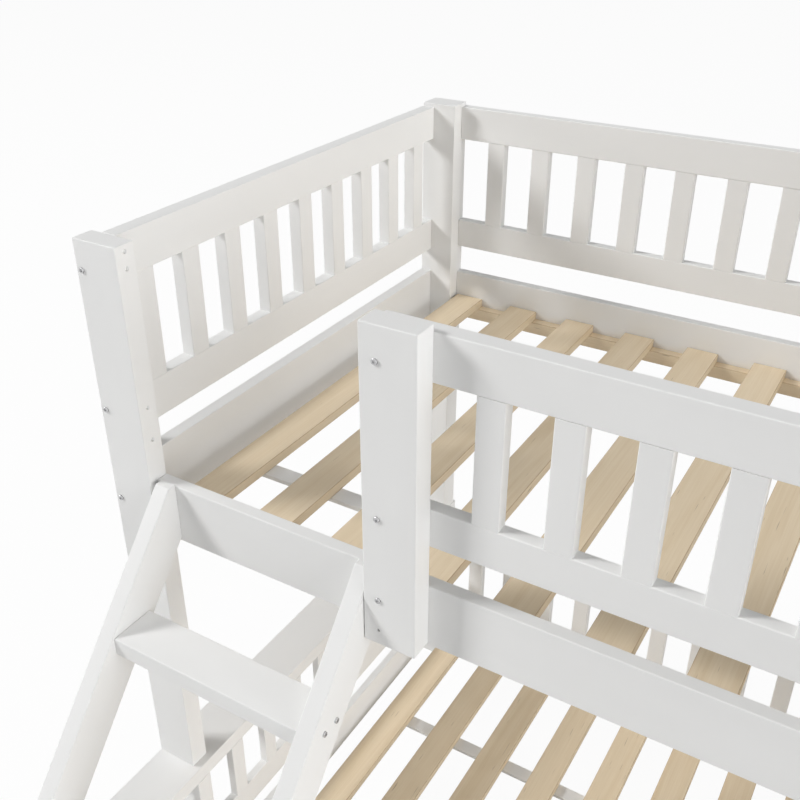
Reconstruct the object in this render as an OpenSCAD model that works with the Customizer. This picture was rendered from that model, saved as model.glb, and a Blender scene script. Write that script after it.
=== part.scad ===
// L-shaped bunk bed in white painted wood with natural pine slats.
// An upper bed stands on the end frames of a wider lower bed. A low bed is bolted
// to the right end at right angles, which makes the L. A leaning ladder serves the
// gap in the front guardrail.
// X runs along the bunk to the right, Y to the back, Z up. The origin lies on the
// floor, in the middle of the whole outline.

/* [Upper bed] */
// Clear length between the end rails of the upper bed
upper_len = 2034; // [1990:1:2100]
// Clear width between the side rails of the upper bed
upper_wid = 1073; // [1020:1:1120]
// Height of the top of the upper slats
upper_slat_z = 1281; // [1240:1:1320]
// Height of the top of the front posts
post_top = 1763; // [1730:1:1840]
// How far the back posts stand above the front ones
back_post_rise = 8; // [2:1:20]
// Clear width of the ladder entry between the corner post and the guard post
entry_w = 464; // [440:1:520]

/* [Lower beds] */
// Clear width between the side rails of the lower bed
lower_wid = 1435; // [1400:1:1500]
// Clear width between the side rails of the corner bed
corner_wid = 1073; // [1000:1:1120]
// Height of the top of the end caps, on which the upper posts stand
cap_top = 593; // [560:1:640]
// Height of the top of the lower slats
lower_slat_z = 191; // [180:1:220]
// Overhang of the caps past the front and the back of the lower bed
cap_overhang = 11; // [4:1:20]

/* [Posts and legs] */
// Width of the front corner posts
post_w = 93; // [80:1:105]
// Depth of the front corner posts
post_d = 42; // [36:1:50]
// Width of the back corner posts
back_post_w = 86; // [70:1:100]
// Depth of the back corner posts
back_post_d = 59; // [45:1:70]
// Width of the guard post beside the ladder
guard_post_w = 92; // [70:1:110]
// Depth of the guard post beside the ladder
guard_post_d = 43; // [36:1:50]
// Depth of the legs under the caps
leg_d = 42; // [36:1:55]

/* [Boards] */
// Thickness of the side rails and of the front and back guards
rail_t = 24; // [20:1:28]
// Thickness of the end panels
end_t = 28; // [22:1:30]
// Thickness of the top rails of the end panels and of the front guard
top_rail_t = 30; // [24:1:34]
// Height of the upper side rails
side_rail_h = 120; // [100:1:140]
// Height of the upper end rails beside the slats
end_rail_h = 143; // [120:1:150]
// Height of the top rail of the end panels
end_top_h = 76; // [60:1:90]
// Height of the lower rail of the end panels
end_low_h = 78; // [60:1:90]
// Height of the top rail of the front guardrail
front_top_h = 76; // [60:1:90]
// Height of the lower rail of the front guardrail
front_low_h = 68; // [50:1:80]
// Height of the top rail of the back guardrail
back_top_h = 77; // [60:1:90]
// Height of the lower rail of the back guardrail
back_low_h = 69; // [60:1:90]
// Width of the cap boards
cap_w = 109; // [98:1:120]
// Thickness of the cap boards
cap_t = 38; // [30:1:45]
// Thickness of the panels under the caps
panel_t = 20; // [18:1:24]
// Height of the rail under the lower panel slats
panel_rail_h = 71; // [55:1:85]
// Height of the slats under the caps
panel_slat_h = 157; // [130:1:170]
// Height of the lower end rails beside the slats
lower_end_h = 100; // [80:1:120]
// Height of the lower side rails
lower_side_h = 150; // [120:1:160]
// Height of the top rail of the lower back guard
lower_guard_h = 76; // [60:1:90]

/* [Slats] */
// Width of the bed slats
slat_w = 72; // [60:1:85]
// Thickness of the bed slats
slat_t = 20; // [14:1:24]
// Pitch of the upper slats
upper_pitch = 152.9; // [130:0.1:160]
// Pitch of the lower slats
lower_pitch = 147; // [125:0.1:155]
// Width of the guard slats in the end panels and the back guards
guard_slat_w = 43; // [35:1:50]
// Clear opening between the end panel slats
end_gap = 71.3; // [55:0.1:80]
// Pitch of the back guard slats
back_pitch = 113.8; // [95:0.1:125]
// Width of the front guard slats
front_slat_w = 43; // [35:1:50]
// Pitch of the front guard slats
front_pitch = 110.2; // [95:0.1:120]
// Width of the slats under the caps
panel_slat_w = 38.4; // [30:0.1:48]
// Clear opening between the slats under the caps
panel_gap = 72.2; // [55:0.1:80]
// Width of the strips that tie the bed slats
strip_w = 37; // [25:1:50]
// Thickness of the strips that tie the bed slats
strip_t = 10; // [6:1:15]

/* [Ladder] */
// Lean of the ladder from the vertical, in degrees
lean = 39.8; // [34:0.1:42]
// Gap between the left front post and the ladder
ladder_gap = 11; // [2:1:30]
// Thickness of the stiles
stile_t = 32; // [26:1:40]
// Depth of the stiles, square to their lean
stile_d = 85; // [70:1:95]
// Depth of the steps
step_d = 86; // [70:1:100]
// Thickness of the steps
step_t = 36; // [30:1:40]
// Number of steps
step_n = 4; // [3:1:4]
// Height of the top of the highest step
step_top_z = 1117; // [1080:1:1150]

/* [Fasteners] */
// Radius of the bolt shanks
bolt_r = 3; // [2.5:0.1:3.5]
// Radius of the bolt heads
bolt_head_r = 5; // [4.5:0.1:7]
// Thickness of the bolt heads
bolt_head_h = 3; // [2:0.1:4]
// Radius of the barrel nuts
nut_r = 5; // [4.5:0.1:6]
// Radius of the steel pins between posts, caps and legs
pin_r = 5; // [4:0.1:6]
// Radius of the wooden dowels
dowel_r = 4; // [3:0.1:5]
// Clearance of shanks, nuts, pins and dowels in their holes, on the radius
hole_fit = 0.3; // [0.1:0.05:0.5]
// Clearance of tenons in their mortises
tenon_fit = 0.2; // [0.1:0.05:0.5]

/* [Hidden] */
$fn = 32;
eps = 1;                                   // how far a cut runs past a face

// Plan of the bunk, before the origin moves to the middle of the outline.
back_post_x = 22;                          // outer end of the bunk to a back post
bunk_len = upper_len + 2 * (end_t + back_post_x);
rail_x = back_post_x + end_t;              // inner face of the left end rails
rail_y = -rail_t - upper_wid;              // inner face of the upper front rails
front_y = rail_y - rail_t;                 // front face of the upper front rails
lower_w = lower_wid + 2 * rail_t;          // lower bed over its side rails
corner_w = corner_wid + 2 * rail_t;        // corner bed over its side rails
leg_w = cap_w - panel_t;                   // legs reach from the outer face to the panel
guard_x = post_w + entry_w;                // left edge of the guard post
post_gap_x = guard_x + guard_post_w;       // where the front guard slats start

// Heights.
rail_drop = 78;                            // top of the upper slats to the front rail's underside
back_rail_rise = 19.5;                     // back rail above the front one
guard_drop = 13;                           // front guard below the tops of the front posts
guard_post_rise = 5;                       // foot of the guard post above the front rail's
low_rail_over = 65;                        // tops of the low beds' rails above their slats
upper_rail_z = upper_slat_z - rail_drop;
back_rail_z = upper_rail_z + back_rail_rise;
end_top_z = post_top - end_top_h;
front_top_z = post_top - guard_drop - front_top_h;
back_top_z = post_top - back_top_h;
guard_post_z = upper_rail_z + guard_post_rise;
cap_z = cap_top - cap_t;
panel_rail_z = cap_z - panel_slat_h - panel_rail_h;
lower_end_z = lower_slat_z + low_rail_over - lower_end_h;
lower_side_z = lower_slat_z + low_rail_over - lower_side_h;
lower_guard_z = cap_z - lower_guard_h;

// A lower guard rail h high stands at a share of the free height from z0 to z1.
end_low_share = 0.224;
front_low_share = 0.265;
back_low_share = 0.257;
function shared_z(z0, z1, h, share) = z0 + share * (z1 - z0 - h);
end_low_z = shared_z(upper_rail_z + end_rail_h, end_top_z, end_low_h, end_low_share);
front_low_z = shared_z(upper_rail_z + side_rail_h, front_top_z, front_low_h, front_low_share);
back_low_z = shared_z(back_rail_z + side_rail_h, back_top_z, back_low_h, back_low_share);

// Tenons, ledgers and slats.
tenon_l = 12;
tenon_t = 10;
tenon_edge = 5;                            // shoulder at each edge of a slat
ledger_w = 25;
ledger_h = 30;
slat_play = 1;                             // bed slats to the rails at their ends
upper_slat_gap = 64;                       // end rail to the first and the last upper slat
lower_slat_gaps = [54.5, 25.5];            // before the first and after the last slat
end_gaps = [33, 47.6];                     // front post and back post to the end slats
front_gaps = [65, 72];                     // guard post and right post to the front slats
back_gaps = [74.5, 93.5];                  // back posts to the back guard slats
upper_strip_in = 160;                      // side rail to the strip under the upper slats
lower_strip_in = 420;                      // side rail to the strip under the lower slats
corner_strip_in = 160;
batten_d = 40;                             // depth of the battens behind the front posts
batten_drop = 23;                          // tops of the battens below the posts' tops

// Ladder.
lean_run = tan(lean);                      // forward travel for each unit of height
stile_y = stile_d / cos(lean);             // depth of a stile, level
stile_over = 4;                            // tops of the stiles above the front rail
stile_top_z = upper_rail_z + side_rail_h + stile_over;
stile_nose = 16;                           // depth of a stile's flat top
ladder_x = post_w + ladder_gap;
ladder_w = entry_w - ladder_gap - 1;       // the right stile clears the guard post by 1
step_pitch = step_top_z / step_n;

// Hardware.
thread_l = 45;                             // how far a bolt runs into its end grain
head_sink = 5;                             // depth of the sunk bolt heads in the legs
post_bolt_l = 36;                          // how far a post's bolt runs into its batten
nut_l = 16;
nut_back = 8;                              // nut's axis from the tip of the bolt
pin_l = 40;                                // how far a pin runs into a post or a leg
sleeve_head_r = 7;
sleeve_head_h = 2.5;
sleeve_r = 4.5;
sleeve_floor = 2;                          // wood left between a sleeve and the guard post
guard_bolt_in = 27;                        // left edge of the guard post to its bolts
front_bolt_in = 13;                        // outer edge of a front post to its bolts
post_bolt_up = [23, 47, 63];               // undersides of top, lower and bed rail to a bolt
guard_bolt_up = [35, 53];                  // undersides of the front guard's rails to a bolt
guard_bolt_drop = 25;                      // top of the front rail to the guard post's bolt
right_bolt_up = [16, 22];                  // the same at the right post
back_bolt_up = 20;                         // undersides of the back guard's rails to a bolt
end_bolt_up = 12;                          // middle of an end rail to its bolt
ladder_bolt_up = 15;                       // underside of the front rail to the ladder's bolts
link_bolt_up = 18;                         // undersides of the low rails to the corner bed's bolts
rail_bolt_in = 30;                         // edges of the upper bed rails to their bolts
low_bolt_in = 35;                          // edges of the low bed rails to their bolts
step_bolt_y = [28.5, 61];                  // front of a step to its bolts
step_bolt_drop = 15;                       // top of a step to its bolts
spare_r = 4.2;                             // spare holes for a guard fitted the other way round
spare_deep = 6;
pilot_r = 2.5;                             // small hole low in the guard post
pilot_deep = 10;
dowel_l = 30;
dowel_in = 12;                             // how far a dowel runs into a panel rail

foot_y = front_y - stile_nose - stile_top_z * lean_run;    // ladder's front edge on the floor

// ---- Placing ----

// Moves the plan to the origin in the middle of the outline.
module centred() {
    translate([-(bunk_len + corner_w - bolt_head_h) / 2, -(foot_y + cap_overhang) / 2, 0])
        children();
}

// Mirrors a left-hand piece of the bunk to the right.
module right_hand() {
    translate([bunk_len, 0, 0]) mirror([1, 0, 0]) children();
}

// Stands a panel, drawn along X from its inner face at Y = 0, along Y instead.
module end_panel() {
    translate([rail_x, rail_y, 0]) rotate([0, 0, 90]) children();
}

// End frames are drawn with their width along X from 0 and their outer face at Y = 0.
module left_frame() {
    translate([0, -lower_w, 0]) mirror([1, 0, 0]) rotate([0, 0, 90]) children();
}

module right_frame() {
    right_hand() left_frame() children();
}

// The corner bed's head stands against the wall plane and its foot faces the room.
module head_frame() {
    translate([bunk_len, 0, 0]) mirror([0, 1, 0]) children();
}

module foot_frame() {
    translate([bunk_len, -bunk_len, 0]) children();
}

// Turns the Z axis to a side of the bed.
module turned(side) {
    angles = side == "left" ? [0, -90, 0] : side == "right" ? [0, 90, 0]
        : side == "front" ? [90, 0, 0] : side == "back" ? [-90, 0, 0]
        : side == "down" ? [180, 0, 0] : [0, 0, 0];
    rotate(angles) children();
}

function toward(side) = side == "left" ? [-1, 0, 0] : side == "right" ? [1, 0, 0]
    : side == "front" ? [0, -1, 0] : side == "back" ? [0, 1, 0]
    : side == "down" ? [0, 0, -1] : [0, 0, 1];

// ---- Rows of slats between rails ----

// Equal slats w wide, evenly spread between the gaps at both ends of a clear length, with
// the spacing nearest to the pitch. Each is [start, width].
function row(length, gaps, pitch, w) =
    let (run = length - gaps[0] - gaps[1] - w, n = max(1, round(run / pitch)))
    [for (k = [0 : n]) [gaps[0] + k * run / n, w]];

end_len = -rail_y - back_post_d;
end_row = row(end_len, end_gaps, end_gap + guard_slat_w, guard_slat_w);

front_len = bunk_len - post_w - post_gap_x;
front_row = row(front_len, front_gaps, front_pitch, front_slat_w);

back_x = back_post_x + back_post_w;        // inner face of a back post
back_row = row(bunk_len - 2 * back_x, back_gaps, back_pitch, guard_slat_w);

lower_back_gaps = [for (gap = back_gaps) gap + back_x - cap_w];
lower_back_row = row(bunk_len - 2 * cap_w, lower_back_gaps, back_pitch, guard_slat_w);

// Slats under a cap fill the clear width between its legs evenly.
function panel_row(w) =
    let (clear = w - 2 * leg_d,
         n = round((clear - panel_gap) / (panel_gap + panel_slat_w)),
         gap = (clear - n * panel_slat_w) / (n + 1))
    [for (k = [1 : n]) [leg_d + k * gap + (k - 1) * panel_slat_w, panel_slat_w]];

// Slats from z0 to z1 in a panel of thickness t, with a tenon at each end.
module slat_row(pieces, t, z0, z1) {
    for (p = pieces) {
        translate([p[0], 0, z0]) cube([p[1], t, z1 - z0]);
        translate([p[0] + tenon_edge, (t - tenon_t) / 2, z0 - tenon_l])
            cube([p[1] - 2 * tenon_edge, tenon_t, z1 - z0 + 2 * tenon_l]);
    }
}

// The mortises for the tenons that enter a rail at height z, from above or below.
module mortises(pieces, t, z, up) {
    depth = tenon_l + tenon_fit;
    for (p = pieces)
        translate([p[0] + tenon_edge - tenon_fit, (t - tenon_t) / 2 - tenon_fit,
                   up ? z : z - depth])
            cube([p[1] - 2 * tenon_edge + 2 * tenon_fit, tenon_t + 2 * tenon_fit,
                  depth]);
}

// A rail along X with mortises in its top or bottom edge.
module mortised_rail(length, t, h, z, pieces, up) {
    difference() {
        translate([0, 0, z]) cube([length, t, h]);
        mortises(pieces, t, up ? z : z + h, up);
    }
}

// ---- Fasteners ----
// Each joint is [point under the head, side the head faces, length of the shank,
// side its nut is fitted from, distance from the bolt to that face].

function left_post_bolts() = [
    for (z = [end_top_z, end_low_z, upper_rail_z] + post_bolt_up)
        [[front_bolt_in, rail_y - post_d, z], "front", post_d + post_bolt_l, "left",
         front_bolt_in]];

function left_rail_bolts() = [
    for (z = [end_top_z + end_top_h / 2, end_low_z + end_low_h / 2, upper_rail_z + end_rail_h / 2])
        [[rail_x - end_t / 2, 0, z + end_bolt_up], "back", back_post_d + thread_l, "left",
         end_t / 2]];

function side_rail_bolts() = [
    for (z = [upper_rail_z + rail_bolt_in, upper_rail_z + side_rail_h - rail_bolt_in])
        [[0, rail_y - rail_t / 2, z], "left", post_w + thread_l, "front", rail_t / 2]];

function back_rail_bolts() = [
    for (z = [back_top_z + back_bolt_up, back_low_z + back_bolt_up, back_rail_z + rail_bolt_in,
              back_rail_z + side_rail_h - rail_bolt_in])
        [[back_post_x, -rail_t / 2, z], "left", back_post_w + thread_l, "back", rail_t / 2]];

function guard_rail_bolts() = [
    for (z = [front_top_z, front_low_z] + right_bolt_up)
        [[0, rail_y - rail_t / 2, z], "left", post_w + thread_l, "front", rail_t / 2]];

function lower_rail_bolts() = [
    for (y = [-rail_t / 2, -lower_w + rail_t / 2], z = [low_bolt_in, lower_side_h - low_bolt_in])
        [[head_sink, y, lower_side_z + z], "left", leg_w - head_sink + thread_l,
         y > -lower_w / 2 ? "back" : "front", rail_t / 2]];

function corner_rail_bolts() = [
    for (x = [rail_t / 2, corner_w - rail_t / 2], z = [low_bolt_in, lower_side_h - low_bolt_in])
        [[bunk_len + x, 0, lower_side_z + z], "back", leg_w + thread_l,
         x < corner_w / 2 ? "left" : "right", rail_t / 2]];

function ladder_top_bolts() = [
    for (x = [ladder_x, ladder_x + ladder_w - stile_t])
        [[x + stile_t / 2, rail_y, upper_rail_z + ladder_bolt_up], "back", rail_t + thread_l,
         "left", stile_t / 2]];

function step_bolts() = [
    for (k = [1 : step_n], b = step_bolt_y)
        [[ladder_x, step_front(k) + b, k * step_pitch - step_bolt_drop], "left",
         stile_t + thread_l, "down", step_t - step_bolt_drop]];

// Joins the corner bed's rail to the bunk's right-hand legs.
function link_bolts() = [
    for (y = [rail_y - post_d / 2, -lower_w + leg_d / 2])
        [[bunk_len + rail_t, y, lower_side_z + link_bolt_up], "right",
         rail_t + thread_l, y < rail_y - post_d ? "front" : "back", leg_d / 2]];

// The guard post's bolts, as [height, thickness of the rail behind the post].
guard_post_bolts = [
    [front_top_z + guard_bolt_up[0], top_rail_t], [front_low_z + guard_bolt_up[1], rail_t],
    [upper_rail_z + side_rail_h - guard_bolt_drop, rail_t]];

// Positions of the legs of an end frame, along its width.
function leg_rows(w, mid) = mid ? [0, w + rail_y - post_d, w - leg_d] : [0, w - leg_d];

module bolt(length) {
    difference() {
        union() {
            cylinder(r = bolt_head_r, h = bolt_head_h);
            translate([0, 0, -length]) cylinder(r = bolt_r, h = length + eps);
        }
        translate([0, 0, bolt_head_h - 2]) cylinder(r = bolt_r - 0.4, h = 3, $fn = 6);
    }
}

module joint_bolts(joints) {
    for (j = joints) translate(j[0]) turned(j[1]) bolt(j[2]);
}

function nut_point(j) = j[0] - toward(j[1]) * (j[2] - nut_back);

module joint_nuts(joints) {
    for (j = joints)
        difference() {
            translate(nut_point(j)) turned(j[3])
                cylinder(r = nut_r, h = nut_l, center = true);
            translate(j[0]) turned(j[1]) translate([0, 0, -j[2] - eps])
                cylinder(r = bolt_r + 0.05, h = j[2] + eps);
        }
}

// Everything that the wood loses for a set of joints.
module joint_holes(joints) {
    for (j = joints) {
        translate(j[0]) turned(j[1]) translate([0, 0, -j[2] - eps])
            cylinder(r = bolt_r + hole_fit, h = j[2] + 2 * eps);
        translate(nut_point(j)) turned(j[3]) translate([0, 0, -nut_l / 2 - hole_fit])
            cylinder(r = nut_r + hole_fit, h = nut_l / 2 + hole_fit + j[4] + eps);
        translate(j[0]) turned(j[1]) cylinder(r = bolt_head_r + hole_fit, h = head_sink + eps);
    }
}

// Through holes of the guard post and the sleeves behind it.
module guard_post_holes(r) {
    for (b = guard_post_bolts)
        translate([guard_x + guard_bolt_in, front_y - guard_post_d - eps, b[0]]) turned("back")
            cylinder(r = r + hole_fit, h = guard_post_d + b[1] + 2 * eps);
}

// Steel pins as [x, y, bottom, top], for the bunk's left half.
left_pins = [
    [post_w / 2, rail_y - post_d / 2, cap_z - pin_l, cap_top + pin_l],
    [leg_w / 2 + 10, -leg_d / 2, cap_z - pin_l, cap_top + pin_l],
    [leg_w / 2, -lower_w + leg_d / 2, cap_z - pin_l, cap_top - 12]];
corner_pins = [
    for (x = [leg_d / 2, corner_w - leg_d / 2])
        [bunk_len + x, -leg_w / 2, cap_z - pin_l, cap_top - 12]];

module pins(list, grow) {
    for (p = list)
        translate([p[0], p[1], p[2] - grow])
            cylinder(r = pin_r + grow, h = p[3] - p[2] + 2 * grow);
}

// Dowels between the legs of an end frame and the two rails planted on them.
module frame_dowels(w, mid, grow) {
    for (x = leg_rows(w, mid),
         z = [panel_rail_z + panel_rail_h / 2, lower_end_z + lower_end_h / 2])
        translate([x + leg_d * (x > w / 2 ? 0.3 : 0.7), leg_w + dowel_in, z])
            turned("front") translate([0, 0, -grow])
                cylinder(r = dowel_r + grow, h = dowel_l + 2 * grow);
}

// ---- Upper bed ----

module front_post() {
    difference() {
        translate([0, rail_y - post_d, cap_top]) cube([post_w, post_d, post_top - cap_top]);
        joint_holes(left_post_bolts());
        joint_holes(side_rail_bolts());
        pins(left_pins, hole_fit);
        children();
    }
}

module spare_holes() {
    for (z = [post_top - 12, post_top - 41, end_low_z + 64, end_low_z])
        translate([post_w + eps, rail_y - post_d / 2, z]) turned("left")
            cylinder(r = spare_r, h = spare_deep + eps);
}

module front_left_post() {
    color("white") front_post() spare_holes();
}

module front_right_post() {
    color("white") right_hand() front_post() joint_holes(guard_rail_bolts());
}

module back_post() {
    difference() {
        translate([back_post_x, -back_post_d, cap_top])
            cube([back_post_w, back_post_d, post_top + back_post_rise - cap_top]);
        joint_holes(left_rail_bolts());
        joint_holes(back_rail_bolts());
        pins(left_pins, hole_fit);
    }
}

module back_left_post() {
    color("white") back_post();
}

module back_right_post() {
    color("white") right_hand() back_post();
}

module guard_post() {
    color("white") difference() {
        translate([guard_x, front_y - guard_post_d, guard_post_z])
            cube([guard_post_w, guard_post_d, post_top - guard_post_z]);
        guard_post_holes(bolt_r);
        translate([guard_x + guard_bolt_in, front_y - guard_post_d - eps, guard_post_z + 29])
            turned("back") cylinder(r = pilot_r, h = pilot_deep + eps);
    }
}

// A batten behind each front post, outside the end rails, takes the post's bolts.
module post_batten() {
    difference() {
        translate([0, rail_y, upper_rail_z])
            cube([back_post_x, batten_d, post_top - batten_drop - upper_rail_z]);
        joint_holes(left_post_bolts());
    }
}

module post_battens() {
    color("white") {
        post_batten();
        right_hand() post_batten();
    }
}

// A rail of an end panel, t thick from the panel's outer face inwards.
module end_rail(t, h, z, pieces, up) {
    difference() {
        end_panel() translate([0, end_t - t, z]) cube([end_len, t, h]);
        end_panel() mortises(pieces, end_t, up ? z : z + h, up);
        joint_holes(left_rail_bolts());
    }
}

module left_end_top_rail() {
    color("white") end_rail(top_rail_t, end_top_h, end_top_z, end_row, true);
}

module left_end_lower_rail() {
    color("white") end_rail(end_t, end_low_h, end_low_z, end_row, false);
}

module left_end_slats() {
    color("white") end_panel() slat_row(end_row, end_t, end_low_z + end_low_h, end_top_z);
}

module left_end_bed_rail() {
    color("white") end_rail(end_t, end_rail_h, upper_rail_z, [], true);
}

module right_end_top_rail() {
    right_hand() left_end_top_rail();
}

module right_end_lower_rail() {
    right_hand() left_end_lower_rail();
}

module right_end_slats() {
    right_hand() left_end_slats();
}

module right_end_bed_rail() {
    right_hand() left_end_bed_rail();
}

// A rail of the front guard runs from behind the guard post to the right post.
module front_guard_rail(t, h, z, up) {
    difference() {
        translate([guard_x, front_y, z]) cube([bunk_len - post_w - guard_x, t, h]);
        translate([post_gap_x, front_y, 0])
            mortises(front_row, rail_t, up ? z : z + h, up);
        guard_post_holes(sleeve_r);
        right_hand() joint_holes(guard_rail_bolts());
    }
}

module front_guard_top_rail() {
    color("white") front_guard_rail(top_rail_t, front_top_h, front_top_z, true);
}

module front_guard_lower_rail() {
    color("white") front_guard_rail(rail_t, front_low_h, front_low_z, false);
}

module front_guard_slats() {
    color("white") translate([post_gap_x, front_y, 0])
        slat_row(front_row, rail_t, front_low_z + front_low_h, front_top_z);
}

module front_side_rail() {
    color("white") difference() {
        translate([post_w, front_y, upper_rail_z])
            cube([bunk_len - 2 * post_w, rail_t, side_rail_h]);
        joint_holes(side_rail_bolts());
        right_hand() joint_holes(side_rail_bolts());
        joint_holes(ladder_top_bolts());
        guard_post_holes(sleeve_r);
    }
}

module back_rail(h, z, pieces, up) {
    difference() {
        translate([back_x, -rail_t, 0])
            mortised_rail(bunk_len - 2 * back_x, rail_t, h, z, pieces, up);
        joint_holes(back_rail_bolts());
        right_hand() joint_holes(back_rail_bolts());
    }
}

module back_guard_top_rail() {
    color("white") back_rail(back_top_h, back_top_z, back_row, true);
}

module back_guard_lower_rail() {
    color("white") back_rail(back_low_h, back_low_z, back_row, false);
}

module back_guard_slats() {
    color("white") translate([back_x, -rail_t, 0])
        slat_row(back_row, rail_t, back_low_z + back_low_h, back_top_z);
}

module back_side_rail() {
    color("white") back_rail(side_rail_h, back_rail_z, [], true);
}

// ---- Slats and what they lie on ----

// Two ledgers on the inner faces of side rails that are wid apart. The front one starts
// front_x from the bunk's ends and the back one back_x.
module ledgers(front_x, back_x, wid, slat_z) {
    for (end = [[back_x, -rail_t - ledger_w], [front_x, -rail_t - wid]])
        translate([end[0], end[1], slat_z - slat_t - ledger_h])
            cube([bunk_len - 2 * end[0], ledger_w, ledger_h]);
}

module bed_slats(x0, pieces, wid, slat_z) {
    for (p = pieces)
        translate([x0 + p[0], -rail_t - wid + slat_play, slat_z - slat_t])
            cube([p[1], wid - 2 * slat_play, slat_t]);
}

// Two strips under the slats, each the same distance in from its side rail.
module strips(x0, pieces, wid, slat_z, inset) {
    last = pieces[len(pieces) - 1];
    for (y = [-rail_t - inset - strip_w, -rail_t - wid + inset])
        translate([x0 + pieces[0][0], y, slat_z - slat_t - strip_t])
            cube([last[0] + last[1] - pieces[0][0], strip_w, strip_t]);
}

upper_slat_row = row(upper_len, [upper_slat_gap, upper_slat_gap], upper_pitch, slat_w);
lower_slat_row = row(bunk_len - 2 * cap_w, lower_slat_gaps, lower_pitch, slat_w);

// The corner bed is drawn along X like the lower bed, then turned to run along Y.
module corner_bed() {
    translate([bunk_len, 0, 0]) rotate([0, 0, -90]) translate([0, corner_w, 0]) children();
}

module upper_ledgers() {
    color("burlywood") ledgers(rail_x, back_x, upper_wid, upper_slat_z);
}

module upper_slats() {
    color("burlywood") bed_slats(rail_x, upper_slat_row, upper_wid, upper_slat_z);
}

module lower_ledgers() {
    color("burlywood") ledgers(cap_w, cap_w, lower_wid, lower_slat_z);
}

module lower_slats() {
    color("burlywood") bed_slats(cap_w, lower_slat_row, lower_wid, lower_slat_z);
}

module corner_ledgers() {
    color("burlywood") corner_bed()
        ledgers(cap_w, cap_w, corner_wid, lower_slat_z);
}

module corner_slats() {
    color("burlywood") corner_bed()
        bed_slats(cap_w, lower_slat_row, corner_wid, lower_slat_z);
}

module slat_strips() {
    color("gainsboro") {
        strips(rail_x, upper_slat_row, upper_wid, upper_slat_z, upper_strip_in);
        strips(cap_w, lower_slat_row, lower_wid, lower_slat_z, lower_strip_in);
        corner_bed()
            strips(cap_w, lower_slat_row, corner_wid, lower_slat_z, corner_strip_in);
    }
}

// ---- Ladder ----

// Y of the front edge of a stile at height z.
function stile_front(z) = foot_y + z * lean_run;
function step_front(k) = stile_front(k * step_pitch) + 3;

// A stile leans, stands flat on the floor and ends upright against the side rail, with a
// level nose in line with the rail's top.
module stile(x) {
    translate([x, 0, 0]) rotate([90, 0, 90]) linear_extrude(stile_t)
        polygon([[foot_y, 0], [foot_y + stile_y, 0],
                 [front_y, (front_y - foot_y - stile_y) / lean_run],
                 [front_y, stile_top_z], [front_y - stile_nose, stile_top_z]]);
}

// The right-hand step bolts mirror the left-hand ones across the ladder.
module across_ladder() {
    translate([2 * ladder_x + ladder_w, 0, 0]) mirror([1, 0, 0]) children();
}

module ladder_left_stile() {
    color("white") difference() {
        stile(ladder_x);
        joint_holes(ladder_top_bolts());
        joint_holes(step_bolts());
    }
}

module ladder_right_stile() {
    color("white") difference() {
        stile(ladder_x + ladder_w - stile_t);
        joint_holes(ladder_top_bolts());
        across_ladder() joint_holes(step_bolts());
    }
}

module ladder_steps() {
    color("white") difference() {
        for (k = [1 : step_n])
            translate([ladder_x + stile_t, step_front(k), k * step_pitch - step_t])
                cube([ladder_w - 2 * stile_t, step_d, step_t]);
        joint_holes(step_bolts());
        across_ladder() joint_holes(step_bolts());
    }
}

// ---- End frames of the low beds ----

module frame_cap(w, over) {
    difference() {
        translate([-over, 0, cap_z]) cube([w + 2 * over, cap_w, cap_t]);
        translate([0, leg_w, 0]) mortises(panel_row(w), panel_t, cap_z, true);
    }
}

module frame_legs(w, mid) {
    difference() {
        for (x = leg_rows(w, mid)) translate([x, 0, 0]) cube([leg_d, leg_w, cap_z]);
        frame_dowels(w, mid, hole_fit);
    }
}

module frame_panel_rail(w, mid) {
    difference() {
        translate([0, leg_w, 0])
            mortised_rail(w, panel_t, panel_rail_h, panel_rail_z, panel_row(w), false);
        frame_dowels(w, mid, hole_fit);
    }
}

module frame_panel_slats(w) {
    translate([0, leg_w, 0])
        slat_row(panel_row(w), panel_t, panel_rail_z + panel_rail_h, cap_z);
}

// The end rail fits between the side rails.
module frame_end_rail(w, mid) {
    difference() {
        translate([rail_t, leg_w, lower_end_z]) cube([w - 2 * rail_t, panel_t, lower_end_h]);
        frame_dowels(w, mid, hole_fit);
    }
}

module lower_left_cap() {
    color("white") difference() {
        left_frame() frame_cap(lower_w, cap_overhang);
        pins(left_pins, hole_fit);
    }
}

module lower_left_legs() {
    color("white") difference() {
        left_frame() frame_legs(lower_w, true);
        pins(left_pins, hole_fit);
        joint_holes(lower_rail_bolts());
    }
}

module lower_left_panel_rail() {
    color("white") left_frame() frame_panel_rail(lower_w, true);
}

module lower_left_panel_slats() {
    color("white") left_frame() frame_panel_slats(lower_w);
}

module lower_left_end_rail() {
    color("white") left_frame() frame_end_rail(lower_w, true);
}

module lower_right_cap() {
    right_hand() lower_left_cap();
}

module lower_right_legs() {
    difference() {
        right_hand() lower_left_legs();
        joint_holes(link_bolts());
    }
}

module lower_right_panel_rail() {
    right_hand() lower_left_panel_rail();
}

module lower_right_panel_slats() {
    right_hand() lower_left_panel_slats();
}

module lower_right_end_rail() {
    right_hand() lower_left_end_rail();
}

// Side rails run from leg to leg.
module low_side_rail(y) {
    difference() {
        translate([leg_w, y, lower_side_z])
            cube([bunk_len - 2 * leg_w, rail_t, lower_side_h]);
        joint_holes(lower_rail_bolts());
        right_hand() joint_holes(lower_rail_bolts());
    }
}

module lower_front_side_rail() {
    color("white") low_side_rail(-lower_w);
}

module lower_back_side_rail() {
    color("white") difference() {
        low_side_rail(-rail_t);
        translate([cap_w, -rail_t, 0])
            mortises(lower_back_row, rail_t, lower_side_z + lower_side_h, false);
    }
}

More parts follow.
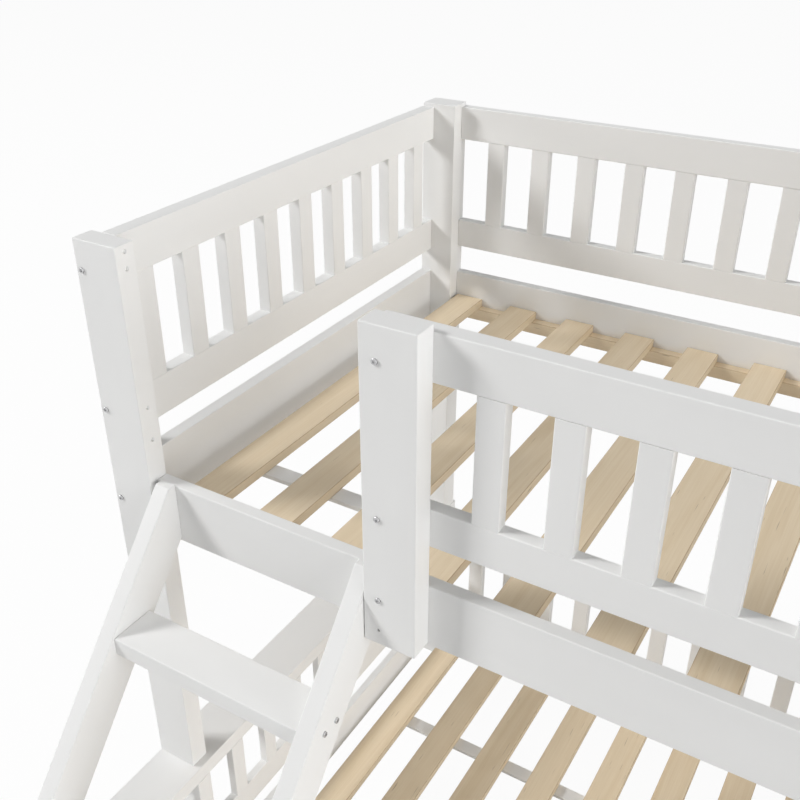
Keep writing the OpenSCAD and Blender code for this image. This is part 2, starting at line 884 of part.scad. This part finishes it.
module lower_guard_top_rail() {
    color("white") difference() {
        translate([leg_w, -rail_t, lower_guard_z])
            cube([bunk_len - 2 * leg_w, rail_t, lower_guard_h]);
        translate([cap_w, -rail_t, 0])
            mortises(lower_back_row, rail_t, lower_guard_z, true);
    }
}

module lower_guard_slats() {
    color("white") translate([cap_w, -rail_t, 0])
        slat_row(lower_back_row, rail_t, lower_side_z + lower_side_h, lower_guard_z);
}

// ---- Corner bed ----

module both_corner_frames() {
    head_frame() children();
    foot_frame() children();
}

// Mirrors a piece at the head of the corner bed to its foot.
module at_foot() {
    translate([0, -bunk_len, 0]) mirror([0, 1, 0]) children();
}

module corner_caps() {
    color("white") difference() {
        both_corner_frames() frame_cap(corner_w, 0);
        pins(corner_pins, hole_fit);
        at_foot() pins(corner_pins, hole_fit);
    }
}

module corner_legs() {
    color("white") difference() {
        both_corner_frames() frame_legs(corner_w, false);
        pins(corner_pins, hole_fit);
        at_foot() pins(corner_pins, hole_fit);
        joint_holes(corner_rail_bolts());
        at_foot() joint_holes(corner_rail_bolts());
    }
}

module corner_panel_rails() {
    color("white") both_corner_frames() frame_panel_rail(corner_w, false);
}

module corner_panel_slats() {
    color("white") both_corner_frames() frame_panel_slats(corner_w);
}

module corner_end_rails() {
    color("white") both_corner_frames() frame_end_rail(corner_w, false);
}

module corner_side_rail(x) {
    difference() {
        translate([bunk_len + x, -bunk_len + leg_w, lower_side_z])
            cube([rail_t, bunk_len - 2 * leg_w, lower_side_h]);
        joint_holes(corner_rail_bolts());
        at_foot() joint_holes(corner_rail_bolts());
        joint_holes(link_bolts());
    }
}

module corner_left_side_rail() {
    color("white") corner_side_rail(0);
}

module corner_right_side_rail() {
    color("white") corner_side_rail(corner_w - rail_t);
}

// ---- Hardware ----

module both_ends() {
    children();
    right_hand() children();
}

module bolts() {
    color("silver") {
        both_ends() {
            joint_bolts(left_post_bolts());
            joint_bolts(left_rail_bolts());
            joint_bolts(side_rail_bolts());
            joint_bolts(back_rail_bolts());
            joint_bolts(lower_rail_bolts());
        }
        right_hand() joint_bolts(guard_rail_bolts());
        joint_bolts(ladder_top_bolts());
        joint_bolts(step_bolts());
        across_ladder() joint_bolts(step_bolts());
        joint_bolts(corner_rail_bolts());
        at_foot() joint_bolts(corner_rail_bolts());
        joint_bolts(link_bolts());
        for (b = guard_post_bolts)
            translate([guard_x + guard_bolt_in, front_y - guard_post_d, b[0]])
                turned("front") bolt(guard_post_d + rail_t / 2);
    }
}

module barrel_nuts() {
    color("silver") {
        both_ends() {
            joint_nuts(left_post_bolts());
            joint_nuts(left_rail_bolts());
            joint_nuts(side_rail_bolts());
            joint_nuts(back_rail_bolts());
            joint_nuts(lower_rail_bolts());
        }
        right_hand() joint_nuts(guard_rail_bolts());
        joint_nuts(ladder_top_bolts());
        joint_nuts(step_bolts());
        across_ladder() joint_nuts(step_bolts());
        joint_nuts(corner_rail_bolts());
        at_foot() joint_nuts(corner_rail_bolts());
        joint_nuts(link_bolts());
    }
}

// Sleeve nuts enter the front rails from inside the bed, behind the guard post.
module sleeve_nuts() {
    color("silver")
        for (b = guard_post_bolts)
            translate([guard_x + guard_bolt_in, front_y + b[1], b[0]])
                turned("back") difference() {
                    union() {
                        cylinder(r = sleeve_head_r, h = sleeve_head_h);
                        translate([0, 0, sleeve_floor - b[1]])
                            cylinder(r = sleeve_r, h = b[1] - sleeve_floor + eps);
                    }
                    translate([0, 0, -b[1]])
                        cylinder(r = bolt_r + 0.05, h = b[1] - sleeve_floor);
                }
}

module post_pins() {
    color("silver") {
        both_ends() pins(left_pins, 0);
        pins(corner_pins, 0);
        at_foot() pins(corner_pins, 0);
    }
}

module dowels() {
    color("burlywood") {
        left_frame() frame_dowels(lower_w, true, 0);
        right_frame() frame_dowels(lower_w, true, 0);
        both_corner_frames() frame_dowels(corner_w, false, 0);
    }
}

centred() front_left_post();
centred() front_right_post();
centred() back_left_post();
centred() back_right_post();
centred() guard_post();
centred() post_battens();
centred() left_end_top_rail();
centred() left_end_lower_rail();
centred() left_end_slats();
centred() left_end_bed_rail();
centred() right_end_top_rail();
centred() right_end_lower_rail();
centred() right_end_slats();
centred() right_end_bed_rail();
centred() front_guard_top_rail();
centred() front_guard_lower_rail();
centred() front_guard_slats();
centred() front_side_rail();
centred() back_guard_top_rail();
centred() back_guard_lower_rail();
centred() back_guard_slats();
centred() back_side_rail();
centred() upper_ledgers();
centred() upper_slats();
centred() ladder_left_stile();
centred() ladder_right_stile();
centred() ladder_steps();
centred() lower_left_cap();
centred() lower_left_legs();
centred() lower_left_panel_rail();
centred() lower_left_panel_slats();
centred() lower_left_end_rail();
centred() lower_right_cap();
centred() lower_right_legs();
centred() lower_right_panel_rail();
centred() lower_right_panel_slats();
centred() lower_right_end_rail();
centred() lower_front_side_rail();
centred() lower_back_side_rail();
centred() lower_guard_top_rail();
centred() lower_guard_slats();
centred() lower_ledgers();
centred() lower_slats();
centred() slat_strips();
centred() corner_caps();
centred() corner_legs();
centred() corner_panel_rails();
centred() corner_panel_slats();
centred() corner_end_rails();
centred() corner_left_side_rail();
centred() corner_right_side_rail();
centred() corner_ledgers();
centred() corner_slats();
centred() bolts();
centred() barrel_nuts();
centred() sleeve_nuts();
centred() post_pins();
centred() dowels();
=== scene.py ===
"""Looks of the L-shaped bunk bed: eased and painted boards, bare pine slats, steel
fasteners, studio light and the photograph's camera."""
import math

import bmesh
import bpy
import numpy as np
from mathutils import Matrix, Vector


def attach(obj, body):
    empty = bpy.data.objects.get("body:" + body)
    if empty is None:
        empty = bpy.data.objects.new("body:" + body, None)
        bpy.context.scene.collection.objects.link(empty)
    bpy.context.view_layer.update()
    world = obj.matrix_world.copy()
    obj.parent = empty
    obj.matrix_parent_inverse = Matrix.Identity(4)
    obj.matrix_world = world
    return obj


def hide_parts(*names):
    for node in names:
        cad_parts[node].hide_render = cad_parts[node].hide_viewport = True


MM = 0.001

# Camera, solved from the photograph.
CAMERA_AT = (-0.4282, -1.0008, 2.2939)
CAMERA_AZIMUTH = math.radians(31.106)      # to the right of the bed's front
CAMERA_ELEVATION = math.radians(29.6)
FIELD_OF_VIEW = math.radians(45)
VIEW_REACH = 500                           # metres, past the floor's far corners

# Radius of the eased edges.
PAINTED_EASE = 2.2 * MM
PINE_EASE = 1.2 * MM
STEEL_EASE = 0.8 * MM
EASE_STEPS = 4

# What counts as what in a CAD mesh.
SHARP = math.radians(30)                   # least angle of an edge that gets eased
CREASE = math.radians(40)                  # least angle that stays hard in the shading
FLAT = math.radians(0.5)                   # facets closer than this are one face
WELD = 0.001 * MM                          # vertices closer than this are one
ON_HULL = 0.02 * MM                        # most that a solid reaches past an outer face
SQUARE = 0.1                               # most cosine of two edges at right angles

# How the grain shifts with a board's place, in noise units.
GRAIN_PER_MM = 0.137
GRAIN_CYCLE = 7.0

PINE_NODES = {
    "upper_slats", "lower_slats", "corner_slats", "upper_ledgers", "lower_ledgers",
    "corner_ledgers", "dowels"}
STEEL_NODES = {"bolts", "barrel_nuts", "sleeve_nuts", "post_pins"}


# ---- Materials ----

class Shader:
    """A node material with short calls for its nodes."""

    def __init__(self, name):
        self.material = bpy.data.materials.new(name)
        self.material.use_nodes = True
        self.tree = self.material.node_tree
        self.surface = self.tree.nodes["Principled BSDF"]

    def feed(self, socket, value):
        """Links a node's output to the socket, or sets a plain value on it."""
        if isinstance(value, bpy.types.NodeSocket):
            self.tree.links.new(value, socket)
        else:
            socket.default_value = value

    def node(self, kind, inputs, **settings):
        made = self.tree.nodes.new(kind)
        for key, value in settings.items():
            setattr(made, key, value)
        for key, value in inputs.items():
            self.feed(made.inputs[key], value)
        return made

    def set(self, key, value):
        self.feed(self.surface.inputs[key], value)

    def grain(self, scale):
        """Coordinates along, across and through the board, each times its scale."""
        place = self.node("ShaderNodeAttribute", {}, attribute_name="grain")
        return self.node("ShaderNodeMapping",
                         {"Vector": place.outputs["Vector"], "Scale": scale}).outputs[0]

    def noise(self, scale, detail, roughness=0.5, distortion=0.0):
        return self.node("ShaderNodeTexNoise", {
            "Vector": self.grain(scale), "Scale": 1.0, "Detail": detail,
            "Roughness": roughness, "Distortion": distortion}).outputs["Fac"]

    def ramp(self, value, stops):
        """Maps a value through (position, colour) stops."""
        made = self.node("ShaderNodeValToRGB", {"Fac": value})
        elements = made.color_ramp.elements
        while len(elements) < len(stops):
            elements.new(0.5)
        for element, (position, colour) in zip(elements, stops):
            element.position = position
            element.color = (*colour, 1.0)
        return made.outputs["Color"]

    def span(self, value, low, high, out_low, out_high):
        """Maps a value from one range to another."""
        return self.node("ShaderNodeMapRange", {
            "Value": value, "From Min": low, "From Max": high,
            "To Min": out_low, "To Max": out_high}).outputs["Result"]

    def mix(self, factor, a, b):
        """One colour laid over another; 6, 7 and 2 are the node's colour sockets."""
        return self.node("ShaderNodeMix", {0: factor, 6: a, 7: b},
                         data_type="RGBA").outputs[2]

    def bump(self, height, strength, distance):
        return self.node("ShaderNodeBump", {
            "Height": height, "Strength": strength, "Distance": distance}).outputs["Normal"]


def srgb(red, green, blue):
    """Linear colour of an 8-bit sRGB colour."""
    def linear(c):
        c /= 255
        return c / 12.92 if c <= 0.04045 else ((c + 0.055) / 1.055) ** 2.4
    return (linear(red), linear(green), linear(blue))


def painted_wood():
    """Satin white paint, through which the grain of the board shows faintly."""
    s = Shader("white_paint")
    fibre = s.noise((5, 260, 260), detail=4)
    cloud = s.noise((3, 9, 9), detail=2)
    colour = s.ramp(cloud, [(0.3, srgb(237, 237, 236)), (0.7, srgb(240, 240, 239))])
    s.set("Base Color", colour)
    s.set("Roughness", s.span(cloud, 0.3, 0.7, 0.52, 0.60))
    s.set("Specular IOR Level", 0.35)
    s.set("Normal", s.bump(fibre, 0.08, 0.2 * MM))
    return s.material


def bare_pine():
    """Sanded pine with fine fibres, soft growth rings and a few short dark flecks."""
    s = Shader("bare_pine")
    rings = s.noise((1.6, 22, 22), detail=2, distortion=0.6)
    fibre = s.noise((6, 340, 340), detail=4, roughness=0.6)
    flecks = s.noise((16, 300, 120), detail=1)
    base = s.ramp(rings, [(0.25, srgb(223, 203, 171)), (0.5, srgb(233, 216, 188)),
                          (0.75, srgb(227, 208, 178))])
    streaked = s.mix(s.span(fibre, 0.35, 0.75, 0.0, 0.28), base,
                     (*srgb(208, 183, 146), 1.0))
    colour = s.mix(s.span(flecks, 0.74, 0.80, 0.0, 0.55), streaked,
                   (*srgb(138, 112, 84), 1.0))
    s.set("Base Color", colour)
    s.set("Roughness", s.span(fibre, 0.3, 0.7, 0.52, 0.66))
    s.set("Normal", s.bump(fibre, 0.18, 0.3 * MM))
    return s.material


def pine_edge():
    """The eased edge of a pine slat, darker than its faces."""
    s = Shader("pine_edge")
    fibre = s.noise((20, 200, 200), detail=3)
    colour = s.ramp(fibre, [(0.3, srgb(190, 164, 130)), (0.7, srgb(208, 184, 150))])
    s.set("Base Color", colour)
    s.set("Roughness", 0.6)
    return s.material


def zinc_steel():
    """Bright zinc plating with faint turning marks."""
    s = Shader("zinc_steel")
    marks = s.noise((400, 400, 400), detail=2)
    colour = s.ramp(marks, [(0.3, srgb(182, 182, 183)), (0.7, srgb(200, 200, 201))])
    s.set("Base Color", colour)
    s.set("Metallic", 1.0)
    s.set("Roughness", s.span(marks, 0.3, 0.7, 0.32, 0.44))
    s.set("Normal", s.bump(marks, 0.05, 0.05 * MM))
    return s.material


# ---- Boards from the CAD nodes ----

def islands(bm):
    """The separate solids of a mesh, as lists of vertices."""
    seen = set()
    found = []
    for start in bm.verts:
        if start in seen:
            continue
        seen.add(start)
        solid = [start]
        for vert in solid:
            for edge in vert.link_edges:
                other = edge.other_vert(vert)
                if other not in seen:
                    seen.add(other)
                    solid.append(other)
        found.append(solid)
    return found


def hull_faces(solid):
    """The faces of a solid that no part of it reaches past: not bores and not tenons."""
    points = np.array([v.co for v in solid])
    faces = {f for v in solid for f in v.link_faces}
    return {f for f in faces
            if (points @ np.array(f.normal)).max() - f.normal.dot(f.verts[0].co) < ON_HULL}


def edges_in_order(bm, vertices):
    """The edges at these vertices, in the mesh's order, which is the same in each run."""
    bm.edges.index_update()
    return sorted({e for v in vertices for e in v.link_edges}, key=lambda e: e.index)


def ease(bm, radius):
    """Rounds the outer edges of each solid and gives the new faces material 1."""
    outer = {f for solid in islands(bm) for f in hull_faces(solid)}
    edges = [e for e in edges_in_order(bm, bm.verts)
             if all(f in outer for f in e.link_faces) and e.calc_face_angle(0) > SHARP]
    made = bmesh.ops.bevel(bm, geom=edges, offset=radius, offset_type="OFFSET",
                           segments=EASE_STEPS, profile=0.5, affect="EDGES",
                           clamp_overlap=True)
    for face in made["faces"]:
        face.material_index = 1


def board_axes(edges):
    """Directions along, across and through a board, from its longest edges.

    Of equal edges the first one counts."""
    spans = sorted((e.verts[1].co - e.verts[0].co for e in edges),
                   key=lambda d: -d.length)
    along = spans[0].normalized()
    across = next((d for d in spans if abs(d.normalized().dot(along)) < SQUARE),
                  along.orthogonal()).normalized()
    return along, across, along.cross(across)


def add_grain(bm):
    """Writes each vertex's place in its own board, shifted so that no two boards match."""
    layer = bm.verts.layers.float_vector.new("grain")
    for solid in islands(bm):
        axes = board_axes(edges_in_order(bm, solid))
        centre = sum((v.co for v in solid), Vector()) / len(solid)
        shift = [round(c / MM) * GRAIN_PER_MM % GRAIN_CYCLE for c in centre]
        for vert in solid:
            vert[layer] = Vector([vert.co.dot(axis) + s for axis, s in zip(axes, shift)])


def dress(name, node, radius, materials):
    """A board with eased edges and its own grain stands for the CAD node."""
    bm = bmesh.new()
    bm.from_mesh(node.data)
    bmesh.ops.remove_doubles(bm, verts=bm.verts, dist=WELD)
    bmesh.ops.dissolve_limit(bm, angle_limit=FLAT, verts=bm.verts, edges=bm.edges)
    bm.normal_update()
    ease(bm, radius)
    add_grain(bm)
    mesh = bpy.data.meshes.new(name)
    bm.to_mesh(mesh)
    bm.free()
    for material in materials:
        mesh.materials.append(material)
    mesh.shade_smooth()
    mesh.set_sharp_from_angle(angle=CREASE)
    piece = bpy.data.objects.new(name, mesh)
    bpy.context.scene.collection.objects.link(piece)
    normals = piece.modifiers.new("flat_faces", "WEIGHTED_NORMAL")
    normals.keep_sharp = True
    normals.weight = 100
    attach(piece, "root")
    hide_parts(name)


def dress_all(nodes):
    paint = painted_wood()
    pine = bare_pine()
    edge = pine_edge()
    steel = zinc_steel()
    for name, node in sorted(nodes.items()):
        if name in PINE_NODES:
            dress(name, node, PINE_EASE, [pine, edge])
        elif name in STEEL_NODES:
            dress(name, node, STEEL_EASE, [steel, steel])
        else:
            dress(name, node, PAINTED_EASE, [paint, paint])


# ---- Stage ----

def background_factor(tree):
    """1 for what the camera sees straight, mirrored or through glass."""
    path = tree.nodes.new("ShaderNodeLightPath")
    total = path.outputs["Is Camera Ray"]
    for other in ("Is Glossy Ray", "Is Transmission Ray"):
        add = tree.nodes.new("ShaderNodeMath")
        add.operation = "MAXIMUM"
        tree.links.new(total, add.inputs[0])
        tree.links.new(path.outputs[other], add.inputs[1])
        total = add.outputs[0]
    return total


def white_floor(half=60.0, shown_white=0.95):
    """A pale floor that looks white and keeps a trace of the bed's shadow.

    It reaches half metres each way, and shown_white is the share of plain white in it."""
    mesh = bpy.data.meshes.new("floor")
    corners = [(-half, -half, 0), (half, -half, 0), (half, half, 0), (-half, half, 0)]
    mesh.from_pydata(corners, [], [(0, 1, 2, 3)])
    floor = bpy.data.objects.new("floor", mesh)
    bpy.context.scene.collection.objects.link(floor)
    s = Shader("floor_white")
    s.set("Base Color", (0.9, 0.9, 0.9, 1.0))
    s.set("Roughness", 0.9)
    glow = s.node("ShaderNodeEmission", {"Color": (1, 1, 1, 1), "Strength": 1.0})
    share = s.node("ShaderNodeMath", {0: background_factor(s.tree), 1: shown_white},
                   operation="MULTIPLY")
    both = s.node("ShaderNodeMixShader", {0: share.outputs[0],
                                          1: s.surface.outputs[0], 2: glow.outputs[0]})
    s.tree.links.new(both.outputs[0], s.tree.nodes["Material Output"].inputs["Surface"])
    mesh.materials.append(s.material)


def white_world(strength):
    """A world that lights the bed faintly and looks white."""
    world = bpy.data.worlds.new("studio")
    bpy.context.scene.world = world
    world.use_nodes = True
    tree = world.node_tree
    light = tree.nodes["Background"]
    light.inputs["Color"].default_value = (1, 1, 1, 1)
    light.inputs["Strength"].default_value = strength
    seen = tree.nodes.new("ShaderNodeBackground")
    seen.inputs["Color"].default_value = (1, 1, 1, 1)
    seen.inputs["Strength"].default_value = 1.0
    mix = tree.nodes.new("ShaderNodeMixShader")
    tree.links.new(background_factor(tree), mix.inputs[0])
    tree.links.new(light.outputs[0], mix.inputs[1])
    tree.links.new(seen.outputs[0], mix.inputs[2])
    tree.links.new(mix.outputs[0], tree.nodes["World Output"].inputs["Surface"])


def softbox(name, at, toward, size, power):
    """A square lamp, its size in metres and its power in watts."""
    data = bpy.data.lights.new(name, "AREA")
    data.shape = "SQUARE"
    data.size = size
    data.energy = power
    lamp = bpy.data.objects.new(name, data)
    lamp.location = at
    direction = Vector(toward) - Vector(at)
    lamp.rotation_euler = direction.to_track_quat("-Z", "Y").to_euler()
    bpy.context.scene.collection.objects.link(lamp)


def studio_light():
    """A key lamp at the left front, two wide ones at the right and a weak one above."""
    bed = (-0.6, 0.0, 1.2)
    softbox("key", (-12.6, -6.4, 9.6), bed, 4.0, 1670)
    softbox("right_front", (18.3, -9.0, 6.2), bed, 12.0, 1220)
    softbox("right", (20.8, 0.0, 5.2), bed, 10.0, 2300)
    softbox("top", (-0.6, 0.0, 12.8), bed, 8.0, 330)
    white_world(0.07)


def photo_camera():
    data = bpy.data.cameras.new("camera")
    data.angle = FIELD_OF_VIEW
    data.clip_end = VIEW_REACH
    camera = bpy.data.objects.new("camera", data)
    camera.location = CAMERA_AT
    camera.rotation_euler = (math.pi / 2 - CAMERA_ELEVATION, 0, CAMERA_AZIMUTH)
    bpy.context.scene.collection.objects.link(camera)
    bpy.context.scene.camera = camera


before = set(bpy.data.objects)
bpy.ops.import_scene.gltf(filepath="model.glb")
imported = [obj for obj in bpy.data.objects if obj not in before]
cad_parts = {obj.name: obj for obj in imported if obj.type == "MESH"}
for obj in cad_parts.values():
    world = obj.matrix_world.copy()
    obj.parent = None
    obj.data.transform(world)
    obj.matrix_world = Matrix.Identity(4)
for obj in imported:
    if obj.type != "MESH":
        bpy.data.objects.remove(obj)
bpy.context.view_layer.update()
photo_camera()
dress_all(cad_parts)
white_floor()
studio_light()
bpy.context.scene.view_settings.view_transform = "Standard"
